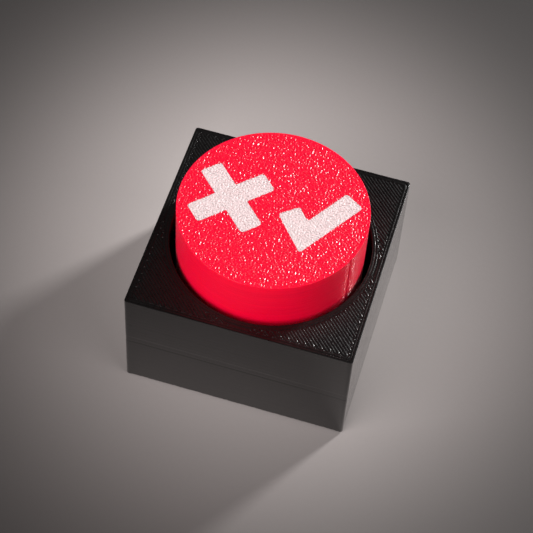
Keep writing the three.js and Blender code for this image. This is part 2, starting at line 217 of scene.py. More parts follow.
def moved(geometry, offset, chosen=True):
    inputs = {"Geometry": geometry, "Offset": offset, "Selection": chosen}
    return add(geometry.tree, "GeometryNodeSetPosition", inputs)


def swept(path, section):
    inputs = {"Curve": path, "Profile Curve": section, "Fill Caps": True}
    return add(path.tree, "GeometryNodeCurveToMesh", inputs)


# ---- geometry node trees ----
LEVEL = (1.0, 1.0, 0.0)              # keeps a vector's level part


def input_name(key):
    return key.replace("_", " ").capitalize()


def new_tree(name, **inputs):
    """A geometry node tree whose inputs are named by kind, with Material besides, and its entry."""
    tree = bpy.data.node_groups.new(name, "GeometryNodeTree")
    tree.interface.new_socket("Geometry", in_out="OUTPUT", socket_type="NodeSocketGeometry")
    inputs["Material"] = "material"
    for kind, keys in inputs.items():
        for key in keys.split():
            tree.interface.new_socket(input_name(key), in_out="INPUT", socket_type=f"NodeSocket{kind}")
    return tree, add(tree, "NodeGroupInput")


def position(tree):
    return add(tree, "GeometryNodeInputPosition")


def end_tree(entry, geometry):
    """Realises what the tree made and gives it the tree's material."""
    tree = entry.tree
    real = add(tree, "GeometryNodeRealizeInstances", {"Geometry": geometry})
    painted = add(tree, "GeometryNodeSetMaterial", {"Geometry": real, "Material": entry["Material"]})
    add(tree, "NodeGroupOutput", {0: painted})
    return tree


def grain_tree():
    """A block whose top (side 1) or underside (side -1) carries the bumps of a textured print bed."""
    squeeze = (1.0, 1.25, 0.0)
    low, high = 0.36, 0.64           # noise up to low makes the deepest pit, from high on almost none
    fade = 0.45 * MM                 # the pits get shallower within this distance of the rim
    tree, entry = new_tree(
        "Bed grain block", Vector="size centre", Int="cells", Float="spacing depth side rim seed",
    )
    here = position(tree)
    block = add(tree, "GeometryNodeMeshCube", {
        "Size": entry["Size"], "Vertices X": entry["Cells"], "Vertices Y": entry["Cells"], "Vertices Z": 2,
    })
    block = moved(block, entry["Centre"])
    flat = here.vector("MULTIPLY", LEVEL)
    where = flat.vector("MULTIPLY", squeeze).scaled(1.0 / entry["Spacing"])
    bumps = add(tree, "ShaderNodeTexNoise", {
        "Vector": where, "W": entry["Seed"], "Scale": 1.0, "Detail": 0.6, "Roughness": 0.5,
    }, noise_dimensions="4D")
    rounded = mapped(bumps, low, high, 1.0, 0.03, "SMOOTHSTEP")
    share = mapped(entry["Rim"] - flat.length(), 0.0, fade, 0.3, 1.0)
    lower = rounded * share * (entry["Side"] * entry["Depth"]) * -1.0
    above = here.xyz()[2] - entry["Centre"].xyz()[2]
    chosen = (above * entry["Side"]).calc("GREATER_THAN", 0.0)
    return end_tree(entry, moved(block, combined(tree, z=lower), chosen))


def layer_tree():
    """Moves the rows of an upright wall in and out, as printed layers do."""
    sway_scale = (260.0, 260.0, 3500.0)
    tree, entry = new_tree(
        "Printed layers", Geometry="geometry",
        Float="layer groove waver band_low band_high band_depth side seed",
    )
    here = position(tree)
    height = here.xyz()[2]
    count = height / entry["Layer"] + 0.01   # the nudge keeps a layer's first row in that layer
    from_crown = count.calc("FRACT").calc("MULTIPLY_ADD", 2.0, -1.0)
    groove = abs(from_crown).calc("POWER", 4.0) * entry["Groove"]
    own = add(tree, "ShaderNodeTexWhiteNoise", {
        "Vector": combined(tree, count.calc("FLOOR"), entry["Seed"]),
    }, noise_dimensions="2D")
    along = add(tree, "ShaderNodeTexNoise", {
        "Vector": here.vector("MULTIPLY", sway_scale), "W": entry["Seed"], "Scale": 1.0, "Detail": 2.0,
    }, noise_dimensions="4D")
    over = height.calc("GREATER_THAN", entry["Band low"])
    under = height.calc("LESS_THAN", entry["Band high"])
    band = over * under * entry["Band depth"]
    depth = (groove + own["Value"] * entry["Waver"]) + (along * entry["Waver"] + band)
    normal = add(tree, "GeometryNodeInputNormal")
    outward = normal.vector("MULTIPLY", LEVEL).vector("NORMALIZE")
    wall = abs(normal.xyz()[2]).calc("LESS_THAN", 0.9)
    offset = outward.scaled(depth * entry["Side"] * -1.0)
    return end_tree(entry, moved(entry["Geometry"], offset, wall))


def bead_tree():
    """Sweeps a flat oval along every path, with rounded turns, as a nozzle lays its lines."""
    waver_scale = 1600.0
    tree, entry = new_tree(
        "Laid lines", Geometry="geometry", Float="width thickness turn step waver", Int="sides",
    )
    path = add(tree, "GeometryNodeMeshToCurve", {0: entry["Geometry"]})
    bend = add(tree, "GeometryNodeFilletCurve", {
        "Curve": path, "Radius": entry["Turn"], "Count": 3, "Limit Radius": True,
    }, mode="POLY")
    even = add(tree, "GeometryNodeResampleCurve", {"Curve": bend, "Length": entry["Step"]}, mode="LENGTH")
    uneven = add(tree, "ShaderNodeTexNoise", {
        "Vector": position(tree), "Scale": waver_scale, "Detail": 1.0,
    })
    wavy = moved(even, combined(tree, z=(uneven - 0.75) * entry["Waver"]))
    upright = add(tree, "GeometryNodeSetCurveNormal", {"Curve": wavy}, mode="Z_UP")
    oval = add(tree, "GeometryNodeCurvePrimitiveCircle", {
        "Radius": 0.5, "Resolution": entry["Sides"],
    }, mode="RADIUS")
    size = combined(tree, entry["Width"], entry["Thickness"], 1.0)
    flat = add(tree, "GeometryNodeTransform", {"Geometry": oval, "Scale": size})
    return end_tree(entry, swept(upright, flat))


def copies_tree():
    """Sets a copy of an object on every point, each turned by its own angle."""
    tree, entry = new_tree("Set of copies", Geometry="geometry", Object="copy", Float="turn", Int="seed")
    source = add(tree, "GeometryNodeObjectInfo", {"Object": entry["Copy"]}, transform_space="ORIGINAL")
    points = add(tree, "GeometryNodeMeshToPoints", {0: entry["Geometry"]})
    angle = add(tree, "FunctionNodeRandomValue", {
        3: entry["Turn"], "Seed": entry["Seed"],
    }, data_type="FLOAT")
    return end_tree(entry, add(tree, "GeometryNodeInstanceOnPoints", {
        "Points": points, "Instance": source["Geometry"], "Rotation": combined(tree, z=angle[1]),
    }))


def thread_tree():
    """A rod along Z whose surface follows a screw thread, running out to a point at its top."""
    tree, entry = new_tree("Screw thread", Float="radius depth pitch bottom top", Int="rows")
    here = position(tree)
    radius = entry["Radius"]
    span = entry["Top"] - entry["Bottom"]
    rod = add(tree, "GeometryNodeMeshCylinder", {
        "Vertices": 24, "Radius": radius, "Depth": span, "Side Segments": entry["Rows"],
    }, fill_type="TRIANGLE_FAN")
    raised = moved(rod, combined(tree, z=span * 0.5 + entry["Bottom"]))
    x, y, z = here.xyz()
    lead = y.calc("ARCTAN2", x) / (2 * math.pi)
    phase = (z / entry["Pitch"] - lead + 100.0).calc("FRACT")   # 100 keeps the sum above zero
    cut = abs(phase - 0.5) * 2.0 * entry["Depth"]
    slim = (radius - (entry["Top"] - z) * 0.9).calc("MAXIMUM", 0.0)
    inward = (cut + slim).calc("MINIMUM", radius * 0.8)
    level = here.vector("MULTIPLY", (-1.0, -1.0, 0.0))
    outside = level.length().calc("GREATER_THAN", 1e-6)
    return end_tree(entry, moved(raised, level.vector("NORMALIZE").scaled(inward), outside))


def coil_tree():
    """A compression spring along Z with its end turns wound closed."""
    tree, entry = new_tree("Compression spring", Float="radius wire bottom top turns closed")
    wire, turns, closed = entry["Wire"], entry["Turns"], entry["Closed"]
    spiral = add(tree, "GeometryNodeCurveSpiral", {
        "Resolution": 40, "Height": 1.0, "Rotations": turns, "Start Radius": entry["Radius"],
        "End Radius": entry["Radius"],
    })
    x, y, share = position(tree).xyz()
    turn = share * turns
    open_turns = turns - closed * 2.0
    opened = (turn - closed).calc("MAXIMUM", 0.0).calc("MINIMUM", open_turns)
    shut_pitch = wire * 1.1
    span = entry["Top"] - entry["Bottom"] - wire
    pitch = (span - shut_pitch * (closed * 2.0)) / open_turns
    climb = opened * pitch + (turn - opened) * shut_pitch
    place = combined(tree, x, y, climb + (entry["Bottom"] + wire * 0.5))
    wound = add(tree, "GeometryNodeSetPosition", {"Geometry": spiral, "Position": place})
    section = add(tree, "GeometryNodeCurvePrimitiveCircle", {
        "Resolution": 10, "Radius": wire * 0.5,
    }, mode="RADIUS")
    return end_tree(entry, swept(wound, section))


TREES = {}


def new_object(name, data):
    obj = bpy.data.objects.new(name, data)
    bpy.context.scene.collection.objects.link(obj)
    return obj


def evaluated_mesh(obj, name):
    bpy.context.view_layer.update()
    depsgraph = bpy.context.evaluated_depsgraph_get()
    mesh = bpy.data.meshes.new_from_object(obj.evaluated_get(depsgraph), depsgraph=depsgraph)
    mesh.name = name
    return mesh


def grown(name, tree_name, source=None, **values):
    """Runs a geometry node tree on a mesh and returns the result as a plain mesh."""
    tree = TREES[tree_name]
    obj = new_object(name, source or bpy.data.meshes.new(name))
    modifier = obj.modifiers.new(name, "NODES")
    modifier.node_group = tree
    wanted = {input_name(key): value for key, value in values.items()}
    for item in tree.interface.items_tree:
        if item.in_out == "INPUT" and item.name in wanted:
            modifier[item.identifier] = wanted.pop(item.name)
    if wanted:
        raise RuntimeError(f"{tree.name} has no input {sorted(wanted)}")
    mesh = evaluated_mesh(obj, name)
    bpy.data.objects.remove(obj)
    return mesh


def scattered(name, mesh, spots, turn, seed, **look):
    """The mesh set on every (x, y) spot, each copy turned by its own angle up to turn."""
    points = bpy.data.meshes.new(f"{name}_points")
    points.from_pydata([(x, y, 0.0) for x, y in spots], [], [])
    master = new_object(f"{name}_master", mesh)
    result = grown(name, "copies", source=points, copy=master, turn=turn, seed=seed, **look)
    bpy.data.objects.remove(master)
    return result


# ---- mesh helpers ----
def centre_of(node):
    low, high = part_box(node)
    return (low + high) / 2


def mesh_from(bm, name):
    mesh = bpy.data.meshes.new(name)
    bm.to_mesh(mesh)
    bm.free()
    return mesh


def loft(name, rings, wrap=False):
    """Joins loops of equal length by faces. The first and last loops are filled, or joined if wrap."""
    bm = bmesh.new()
    loops = [[bm.verts.new(point) for point in ring] for ring in rings]
    pairs = list(zip(loops, loops[1:]))
    if wrap:
        pairs.append((loops[-1], loops[0]))
    for low, high in pairs:
        for i, vert in enumerate(low):
            j = (i + 1) % len(low)
            bm.faces.new((vert, low[j], high[j], high[i]))
    if not wrap:
        bm.faces.new(list(reversed(loops[0])))
        bm.faces.new(loops[-1])
    bmesh.ops.recalc_face_normals(bm, faces=bm.faces)
    return mesh_from(bm, name)


def even_angles(count):
    return [2 * math.pi * i / count for i in range(count)]


def circle(radius, z, angles, centre=(0.0, 0.0)):
    return [
        (centre[0] + radius * math.cos(angle), centre[1] + radius * math.sin(angle), z)
        for angle in angles
    ]


def turned(name, profile, columns, centre=(0.0, 0.0), wrap=False):
    """A profile of (radius, height) points turned about an upright axis."""
    tiny = 1e-5
    angles = even_angles(columns)
    return loft(name, [circle(max(radius, tiny), z, angles, centre) for radius, z in profile], wrap)


def lower_round(radius, low, rim, steps, first=0):
    """Profile points from the underside at low round to the side at radius."""
    angles = [math.pi / 2 * i / steps for i in range(first, steps + 1)]
    return [(radius - rim + rim * math.sin(angle), low + rim - rim * math.cos(angle)) for angle in angles]


def from_edge(radius, base, points):
    """Profile points given in millimetres inwards from radius and upwards from base."""
    return [(radius - inward * MM, base + up * MM) for inward, up in points]


def rounded_square(half, z, per_side, swell=0.0):
    """Points round an upright square with round corners. Its corners stand out by swell."""
    points = []
    inner = half - CORNER_RADIUS
    swell_reach = 1.3 * MM
    near = [0.0, 0.25 * MM, 0.5 * MM, 0.75 * MM, 1.0 * MM, swell_reach] if swell else [0.0]
    plain = inner - near[-1]
    marks = [-inner + step for step in near[:-1]]
    marks += [-plain + 2 * plain * i / per_side for i in range(per_side + 1)]
    marks += [inner - step for step in reversed(near[1:-1])]
    if not swell:
        marks.pop()
    for quarter in range(4):
        turn = Matrix.Rotation(quarter * math.pi / 2, 3, "Z")
        for along in marks:
            reach = min(1.0, (inner - abs(along)) / swell_reach)
            dip = swell * reach * reach * (3 - 2 * reach)
            points.append(turn @ Vector((half - dip, along, z)))
        quadrant = even_angles(4 * CORNER_STEPS)[:CORNER_STEPS]
        points += [turn @ Vector(point) for point in circle(CORNER_RADIUS, z, quadrant, (inner, inner))]
    return points


def layer_heights(low, high, rows=(0.0, 0.13, 0.5, 0.87)):
    """Row heights from low to high, both ends included, at the given shares of each layer."""
    layer = sizes().layer
    numbers = range(math.floor(low / layer), math.ceil(high / layer) + 1)
    heights = [(number + share) * layer for number in numbers for share in rows]
    spare = 0.03 * layer
    return [low, *(z for z in heights if low + spare < z < high - spare), high]


def box_mesh(name, low, high):
    bm = bmesh.new()
    bmesh.ops.create_cube(bm, size=1.0)
    for vert in bm.verts:
        vert.co = Vector(low[i] if vert.co[i] < 0 else high[i] for i in range(3))
    return mesh_from(bm, name)


def path_mesh(paths, z, closed=False):
    """A mesh of edges along each path of (x, y) points, at height z."""
    bm = bmesh.new()
    for path in paths:
        verts = [bm.verts.new((point[0], point[1], z)) for point in path]
        following = verts[1:] + (verts[:1] if closed else [])
        for one, other in zip(verts, following):
            bm.edges.new((one, other))
    return mesh_from(bm, "paths")


def joined(name, meshes):
    bm = bmesh.new()
    for mesh in meshes:
        bm.from_mesh(mesh)
    return mesh_from(bm, name)


def joined_two(name, first, first_look, second, second_look):
    """Both groups of meshes as one mesh, each group in its own finish."""
    mesh = joined(name, [*first, *second])
    whole = sum(len(part.polygons) for part in first)
    paint(mesh, first_look, second_look, choose=lambda face: int(face.index >= whole))
    return mesh


def solid_copy(node, name):
    """A copy of a CAD node's mesh with its loose triangles merged."""
    bm = bmesh.new()
    bm.from_mesh(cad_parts[node].data)
    bmesh.ops.remove_doubles(bm, verts=bm.verts, dist=0.002 * MM)
    bmesh.ops.dissolve_degenerate(bm, edges=bm.edges, dist=0.001 * MM)
    return mesh_from(bm, name)


def boolean(mesh, operation, *cutters):
    """The mesh with each cutter joined, cut away or kept in common, as a new mesh."""
    for cutter in cutters:
        first = new_object("boolean_target", mesh)
        second = new_object("boolean_tool", cutter)
        modifier = first.modifiers.new("boolean", "BOOLEAN")
        modifier.operation = operation
        modifier.solver = "MANIFOLD"
        modifier.object = second
        name = mesh.name
        mesh = evaluated_mesh(first, name)
        bpy.data.objects.remove(first)
        bpy.data.objects.remove(second)
        if not mesh.polygons:
            raise RuntimeError(f"the {operation.lower()} left nothing of {name}")
    return mesh


def bevelled(mesh, width, segments=2, angle=40):
    """The mesh with its flat faces made whole and its sharp edges rounded."""
    bm = bmesh.new()
    bm.from_mesh(mesh)
    bmesh.ops.dissolve_limit(bm, angle_limit=math.radians(1), verts=bm.verts, edges=bm.edges)
    sharp = [
        edge for edge in bm.edges
        if len(edge.link_faces) == 2 and edge.calc_face_angle(0) > math.radians(angle)
    ]
    bmesh.ops.bevel(
        bm, geom=sharp, offset=width, segments=segments, profile=0.5, affect="EDGES", clamp_overlap=True,
    )
    bmesh.ops.triangulate(bm, faces=[face for face in bm.faces if len(face.verts) > 4])
    bmesh.ops.recalc_face_normals(bm, faces=bm.faces)
    return mesh_from(bm, mesh.name)


def paint(mesh, *looks, choose=None):
    """Gives the mesh its named finishes; choose(face) picks one by number."""
    mesh.materials.clear()
    for look in looks:
        mesh.materials.append(finish(look))
    if choose:
        mesh.polygons.foreach_set("material_index", [choose(face) for face in mesh.polygons])


def piece(name, mesh, slot, *nodes, body="base", look=None, smooth=35):
    """A finished piece: shaded, in its look, riding on its body, standing for its CAD nodes."""
    if look:
        paint(mesh, look)
    mesh.polygons.foreach_set("use_smooth", [True] * len(mesh.polygons))
    mesh.set_sharp_from_angle(angle=math.radians(smooth))
    mesh.name = name
    obj = new_object(name, mesh)
    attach(obj, body)
    if nodes:
        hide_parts(*nodes)
    return obj


def refined(node, look, slot, width, body="base", segments=2):
    """A CAD piece with its edges rounded and its finish on."""
    mesh = bevelled(solid_copy(node, node), width, segments)
    return piece(f"{node}_part", mesh, slot, node, body=body, look=look)


# ---- materials ----
NOISE_LOW, NOISE_HIGH = 0.3, 0.7     # the part of a noise pattern's range that is put to use
SHEEN_ROUGHNESS = 0.15

# title, colour or the name of a colour setting, roughness, and what surface() needs besides
FINISHES = {
    "side_walls": ("Black print side", "housing", 0.2, dict(
        scale=0.5, fine=1.6, bump=0.003, tone=0.25, spread_by=0.07, stretch=(0.25, 0.25, 5.0),
        coat=1.0, coat_roughness=0.06, specular=0.32)),
    "top_lines": ("Black print top", "housing", 0.32, dict(
        scale=0.8, fine=3.0, bump=0.014, tone=0.2, coat=0.15, coat_roughness=0.08, specular=0.25)),
    "bed_face": ("Black print bed face", "housing", 0.34, dict(scale=1.0, fine=7.0, tone=0.2)),
    "cap_side": ("Red print side", "cap", 0.36, dict(
        scale=0.5, fine=6.0, bump=0.003, tone=0.05, stretch=(0.2, 0.2, 5.0), subsurface=0.5, glow=1.5,
        sheen=0.45, specular=0.35)),
    "cap_face": ("Red print bed face", "cap", 0.28, dict(
        fine=7.0, bump=0.014, tone=0.05, subsurface=0.2, specular=0.8)),
    "legend": ("White print bed face", "legend", 0.5, dict(
        bump=0.003, tone=0.03, subsurface=0.95, glow=0.35, specular=0.35)),
    "moulding": ("Charcoal nylon", "moulding", 0.5, dict(fine=14.0)),
    "cover": ("Smoke cover", "cover", 0.28, dict(bump=0.002, subsurface=0.1)),
    "stem": ("Blue acetal", "stem", 0.32, dict(bump=0.002, subsurface=0.1)),
    "rubber": ("Pad rubber", "rubber", 0.8, dict(bump=0.012, fine=5.0, specular=0.3)),
    "mask": ("Solder mask", "board", 0.3, dict(tone=0.15, fine=11.0, coat=0.5)),
    "track": ("Masked track", "board", 0.28, dict(lighter=1.9, tone=0.1, coat=0.5)),
    "chip": ("Chip epoxy", (0.014, 0.014, 0.015), 0.55, dict(bump=0.006, fine=16.0)),
    "ceramic": ("Capacitor ceramic", (0.42, 0.27, 0.16), 0.5, dict(tone=0.1)),
    "tin": ("Tinned leads", (0.62, 0.61, 0.6), 0.28, dict(metallic=1.0, tone=0.08, bump=0.003)),
    "solder": ("Solder", (0.66, 0.66, 0.67), 0.22, dict(metallic=1.0, tone=0.06, bump=0.006, fine=4.0)),
    "zinc": ("Zinc plate", (0.5, 0.5, 0.52), 0.3, dict(metallic=1.0, bump=0.003, scale=2.5)),
    "nickel": ("Nickel plate", (0.63, 0.61, 0.58), 0.26, dict(
        metallic=1.0, tone=0.07, bump=0.002, fine=20.0)),
    "spring_steel": ("Spring steel", (0.5, 0.5, 0.5), 0.25, dict(
        metallic=1.0, tone=0.1, bump=0.002, fine=20.0)),
    "bronze": ("Contact bronze", (0.7, 0.4, 0.18), 0.3, dict(
        metallic=1.0, bump=0.002, stretch=(0.3, 3.0, 3.0))),
    "seal": ("Cell seal", (0.05, 0.05, 0.055), 0.6, {}),
}
MADE = {}


def finish(name):
    """The material of the named finish, made once."""
    if name not in MADE:
        title, base, roughness, details = FINISHES[name]
        if isinstance(base, str):
            base = getattr(colours(), base)
        MADE[name] = surface(title, base, roughness, **details)
    return MADE[name]


def new_material(name):
    material = bpy.data.materials.new(name)
    material.use_nodes = True
    return material, material.node_tree, material.node_tree.nodes["Principled BSDF"]


def pattern_space(tree, stretch=(1.0, 1.0, 1.0)):
    """Object coordinates in millimetres, stretched as asked."""
    place = add(tree, "ShaderNodeTexCoord")
    per_mm = [share / MM for share in stretch]
    return add(tree, "ShaderNodeMapping", {"Vector": place["Object"], "Scale": per_mm})


def noise_pattern(space, scale, roughness=0.5):
    return add(space.tree, "ShaderNodeTexNoise", {
        "Vector": space, "Scale": scale, "Detail": 3.0, "Roughness": roughness,
    })


def spread(pattern, low, high):
    """Maps a noise pattern to the range low to high."""
    return mapped(pattern, NOISE_LOW, NOISE_HIGH, low, high)


def mixed(tree, share, first, second, blend="MIX"):
    """The mix of two colours; on a colour Mix node they are inputs 6 and 7 and the output is 2."""
    inputs = {0: share, 6: first, 7: second}
    return add(tree, "ShaderNodeMix", inputs, data_type="RGBA", blend_type=blend)[2]


def two_tone(pattern, dark, light):
    return mixed(pattern.tree, spread(pattern, 0.0, 1.0), (*dark, 1.0), (*light, 1.0))


def bump_of(height, distance):
    return add(height.tree, "ShaderNodeBump", {"Height": height, "Distance": distance})


def tinted(base, factor):
    return tuple(min(1.0, channel * factor) for channel in base)


def surface(
    name, base, roughness, spread_by=0.08, tone=0.12, lighter=1.0, scale=1.2, fine=9.0, bump=0.004,
    stretch=(1.0, 1.0, 1.0), metallic=0.0, specular=0.5, subsurface=0.0, glow=0.9, coat=0.0,
    coat_roughness=0.12, sheen=0.0,
):
    """A procedural surface: two close tones in a soft pattern, uneven gloss and a fine bump."""
    material, tree, shader = new_material(name)
    base = tinted(base, lighter)
    space = pattern_space(tree, stretch)
    tight = noise_pattern(space, fine, 0.6)
    feed(tree, shader, {
        "Base Color": two_tone(noise_pattern(space, scale), tinted(base, 1 - tone), tinted(base, 1 + tone)),
        "Roughness": spread(tight, roughness - spread_by, roughness + spread_by),
        "Normal": bump_of(tight, bump * MM),
        "Metallic": metallic,
        "Specular IOR Level": specular,
    })
    if subsurface:
        reach = [0.2 + 0.8 * channel for channel in base]
        feed(tree, shader, {
            "Subsurface Weight": subsurface, "Subsurface Radius": reach, "Subsurface Scale": glow * MM,
        })
    if sheen:
        feed(tree, shader, {"Sheen Weight": sheen, "Sheen Roughness": SHEEN_ROUGHNESS})
    if coat:
        feed(tree, shader, {"Coat Weight": coat, "Coat Roughness": coat_roughness})
    return material


# ---- housing ----
def grain_block(side, low, high, half, seed, cell=None, rim=1.0):
    """A block from low to high whose top or underside carries the bed's grain."""
    settings = sizes()
    cell = cell or settings.grain_cell
    return grown(
        "grain_block", "grain", size=(2 * half, 2 * half, high - low),
        centre=(0.0, 0.0, (low + high) / 2), cells=round(2 * half / cell) + 1,
        spacing=max(settings.grain, 1.6 * cell), depth=settings.grain_depth, side=float(side), rim=rim,
        seed=seed,
    )


def grain_depth_limit():
    """How far from a grainy face its finish reaches."""
    return sizes().grain_depth + 0.05 * MM


def layered(name, rings, seed, groove, waver, side=1.0, band=(0.0, 0.0, 0.0)):
    """A lofted wall with its layers. The band is a low and a high limit and how far it sinks."""
    return grown(
        name, "layers", source=loft(name, rings), layer=sizes().layer, groove=groove, waver=waver,
        band_low=band[0], band_high=band[1], band_depth=band[2], side=side, seed=seed,
    )


def raster_paths(inner, hole, pitch):
    """Diagonal lines that fill a square of half width inner outside a circle, joined into zigzags."""
    along = Vector((1.0, -1.0)) / math.sqrt(2)
    across = Vector((1.0, 1.0)) / math.sqrt(2)
    reach = inner * math.sqrt(2)
    count = int(reach / pitch)
    chains = {"whole": [], "front": [], "back": []}
    paths = []

    def lay(branch, offset, start, end):
        ends = [across * offset + along * start, across * offset + along * end]
        chain = chains[branch]
        if len(chain) % 4 == 2:
            ends.reverse()
        if chain and (chain[-1] - ends[0]).length > 2.5 * pitch:
            paths.append(list(chain))
            chain.clear()
        chain.extend(ends)

    for step in range(-count, count + 1):
        offset = step * pitch
        limit = reach - abs(offset)
        gap = math.sqrt(hole * hole - offset * offset) if abs(offset) < hole else 0.0
        if gap == 0.0 and limit > pitch:
            lay("whole", offset, -limit, limit)
        elif limit - gap > pitch:
            lay("front", offset, gap, limit)
            lay("back", offset, -limit, -gap)
    paths.extend(chain for chain in chains.values() if chain)
    return paths


def top_lines():
    """The housing's top skin: two lines round each edge, and diagonal lines between them."""
    pitch = sizes().line
    loop_lines = (0.54, 1.48)        # where the two loops run, in line widths from the edge
    inset = 2.1 * pitch
    loops = [
        points for loop in loop_lines for points in (
            rounded_square(HOUSING_HALF - loop * pitch, 0.0, per_side=24),
            circle(WELL_RADIUS + 0.02 * MM + loop * pitch, 0.0, even_angles(150)),
        )
    ]
    lines = raster_paths(HOUSING_HALF - inset, WELL_RADIUS + inset, pitch)
    skins = []
    for paths, closed, thickness in ((loops, True, 0.07 * MM), (lines, False, 0.13 * MM)):
        middle = HOUSING_HIGH.z - thickness / 2 - 0.004 * MM
        skins.append(grown(
            "top_lines", "beads", source=path_mesh(paths, middle, closed), width=pitch * 1.04,
            thickness=thickness, turn=0.16 * MM, step=pitch * 0.8, waver=0.06 * MM, sides=10,
        ))
    return joined("top_lines", [*skins, turn_drops(lines)])


def turn_drops(lines):
    """A drop of plastic on each sharp turn of the zigzags, where the nozzle lingers."""
    sharp = math.radians(60)
    reach, height = 0.19 * MM, 0.07 * MM
    foot = HOUSING_HIGH.z - 0.08 * MM
    shoulder = HOUSING_HIGH.z - 0.06 * MM
    dome = [(reach, foot)] + [
        (reach * math.cos(angle), shoulder + height * math.sin(angle))
        for angle in (math.radians(22.5 * i) for i in range(5))
    ]
    spots = [
        here for path in lines for before, here, after in zip(path, path[1:], path[2:])
        if (before - here).angle(after - here) < sharp
    ]
    return scattered("turn_drops", turned("drop", dome, columns=8), spots, turn=math.pi, seed=9)


class BUZZER_OT_housing(bpy.types.Operator):
    """Build the printed housing with its layers, its well and the lines on its top"""
    bl_idname = "buzzer.housing"
    bl_label = "Housing"

    def execute(self, context):
        settings = sizes()
        margin = 0.005 * MM
        corner_swell = 0.05 * MM
        sunken_band = (9.05 * MM, 10.25 * MM, 0.02 * MM)
        heights = layer_heights(HOUSING_LOW.z - PAST, HOUSING_HIGH.z - TOP_SKIN)
        outer = layered(
            "housing_block", [
                rounded_square(HOUSING_HALF - margin, z, per_side=9, swell=corner_swell) for z in heights
            ],
            seed=3.0, groove=settings.wall_groove, waver=0.003 * MM, band=sunken_band,
        )
        heights = layer_heights(WELL_FLOOR - 0.5 * MM, HOUSING_HIGH.z + PAST)
        well = layered(
            "well_cutter", [circle(WELL_RADIUS + 0.01 * MM, z, even_angles(128)) for z in heights],
            seed=7.0, groove=settings.groove, waver=0.012 * MM, side=-1.0,
        )
        low = HOUSING_LOW.z + 0.01 * MM
        bed = grain_block(
            -1, low, HOUSING_HIGH.z + PAST, HOUSING_HALF + PAST, seed=11.0, cell=0.24 * MM,
        )
        mesh = boolean(outer, "INTERSECT", solid_copy("housing", "housing_blank"), bed)
        mesh = boolean(mesh, "DIFFERENCE", well)
        mesh = joined("housing_shell", [mesh, top_lines()])
        top = HOUSING_HIGH.z - TOP_SKIN - 0.02 * MM
        bottom = HOUSING_LOW.z + grain_depth_limit()

        def finish_of(face):
            if face.center.z > top:
                return 1
            return 2 if face.center.z < bottom and abs(face.normal.z) > 0.5 else 0

        paint(mesh, "side_walls", "top_lines", "bed_face", choose=finish_of)
        piece("housing_shell", mesh, "housing_plastic", "housing", smooth=50)
        return {"FINISHED"}


# ---- base plate, screws and pads ----
class BUZZER_OT_base_plate(bpy.types.Operator):
    """Build the base plate, whose underside carries the print bed's grain"""
    bl_idname = "buzzer.base_plate"
    bl_label = "Base plate"

    def execute(self, context):
        low = PLATE_LOW.z + 0.004 * MM
        bed = grain_block(-1, low, PLATE_HIGH.z + PAST, PLATE_HIGH.x + PAST, seed=23.0, cell=0.16 * MM)
        mesh = boolean(solid_copy("base_plate", "base_plate_print"), "INTERSECT", bed)
        limit = PLATE_LOW.z + grain_depth_limit()
        paint(mesh, "side_walls", "bed_face", choose=lambda face: int(face.center.z < limit))
        piece("base_plate_print", mesh, "housing_plastic", "base_plate")
        return {"FINISHED"}


class BUZZER_OT_screws(bpy.types.Operator):
    """Build the four pan head screws with their threads and cross recesses"""
    bl_idname = "buzzer.screws"
    bl_label = "Screws"

    def execute(self, context):
        radius = (SCREW_HIGH.x - SCREW_LOW.x) / 2
        low = SCREW_LOW.z
        seat = low + 1.3 * MM
        thread = 0.95 * MM
        rows_per_turn = 6
        neck = thread * 0.8
        dome = [
            (radius * share, low + up * MM)
            for share, up in ((0.3, 0.0), (0.62, 0.03), (0.82, 0.13), (0.94, 0.3), (1.0, 0.55))
        ]
        dome += from_edge(radius, seat, ((0, -0.08), (0.08, 0)))
        dome += [(neck, seat), (neck, seat + 0.3 * MM)]
        mesh = turned("screw_head", dome, 40)
        wing_x, wing_y, wing_top = 1.05 * MM, 0.22 * MM, low + 0.8 * MM
        for turn in (0.0, math.pi / 2):
            wing = box_mesh("recess", (-wing_x, -wing_y, low - PAST), (wing_x, wing_y, wing_top))
            for vert in wing.vertices:
                if vert.co.z > low:
                    vert.co.x *= 0.35
                    vert.co.y *= 0.7
            wing.transform(Matrix.Rotation(turn, 4, "Z"))
            mesh = boolean(mesh, "DIFFERENCE", wing)
        pitch = sizes().thread_pitch
        shank = grown(
            "shank", "thread", radius=thread, depth=0.24 * MM, pitch=pitch, bottom=seat - 0.05 * MM,
            top=SCREW_HIGH.z, rows=round((SCREW_HIGH.z - seat) / pitch * rows_per_turn),
        )
        nodes = [f"base_screw_{i}" for i in range(1, 5)]
        result = scattered(
            "base_screws", joined("base_screw", [mesh, shank]), [centre_of(node).xy for node in nodes],
            turn=math.pi, seed=5, material=finish("zinc"),
        )
        piece("base_screws", result, "screw_steel", *nodes)
        return {"FINISHED"}


class BUZZER_OT_pads(bpy.types.Operator):
    """Build the four rubber pads with their rounded rims"""
    bl_idname = "buzzer.pads"
    bl_label = "Rubber pads"

    def execute(self, context):
        radius = (PAD_HIGH.x - PAD_LOW.x) / 2
        low, high = PAD_LOW.z, PAD_HIGH.z
        edge = 0.05 * MM
        profile = [(radius * share, low) for share in (0.0, 0.35, 0.7)]
        profile += lower_round(radius, low, 0.25 * MM, steps=6)
        profile += [(radius, (low + high) / 2), (radius, high - edge), (radius - edge, high), (0.0, high)]
        nodes = [f"foot_pad_{i}" for i in range(1, 5)]
        mesh = scattered(
            "foot_pads", turned("pad", profile, 48), [centre_of(node).xy for node in nodes],
            turn=0.0, seed=1, material=finish("rubber"),
        )
        piece("foot_pads", mesh, "pad_rubber", *nodes)
        return {"FINISHED"}


